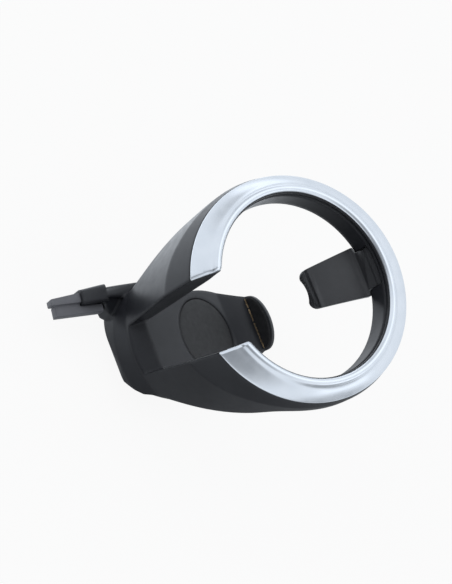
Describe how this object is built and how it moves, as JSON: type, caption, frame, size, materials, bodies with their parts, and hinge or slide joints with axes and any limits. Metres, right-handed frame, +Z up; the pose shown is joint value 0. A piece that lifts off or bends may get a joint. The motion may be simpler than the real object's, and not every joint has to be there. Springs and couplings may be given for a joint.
{
  "type": "car cup holder",
  "caption": "Plug-in car cup holder: an open ring with plated trim and a sprung flap, on a curved back wall with a sloping spoon-shaped base and a side plug.",
  "frame": {"origin": "on the axis of the cup ring, at the level of the foot it rests on", "axes": "+X from the plug at the back to the flap at the front, +Z up along the cup's axis"},
  "size_m": [0.1365, 0.1012, 0.0799],
  "materials": {
    "body_black": "satin, fine grain",
    "trim_chrome": "satin plated",
    "flap_black": "satin",
    "steel": "bright",
    "screw_steel": "blackened",
    "pad_rubber": "matt",
    "lip_felt": "flocked",
    "tape_tan": "matt film",
    "blade_grey": "satin"
  },
  "bodies": {
    "holder": {"holder_body": "body_black", "ring_trim": "trim_chrome", "hinge_pin": "steel", "flap_spring": "steel", "floor_pad": "pad_rubber", "lip_pad": "lip_felt", "pad_tape": "tape_tan", "base_cover": "body_black", "cover_screws": "screw_steel", "plug_blade": "blade_grey", "plug_screws": "screw_steel"},
    "flap": {"cup_flap": "flap_black"}
  },
  "joints": [
    {"name": "flap_hinge", "type": "hinge", "parent": "holder", "child": "flap", "pos_m": [0.0434, 0, 0.0714], "axis": [0, -1, 0], "range_deg": [0, 72], "stiffness_Nm_per_rad": 0.01, "springref_deg": -28.65, "deforming": ["flap_spring"]}
  ]
}
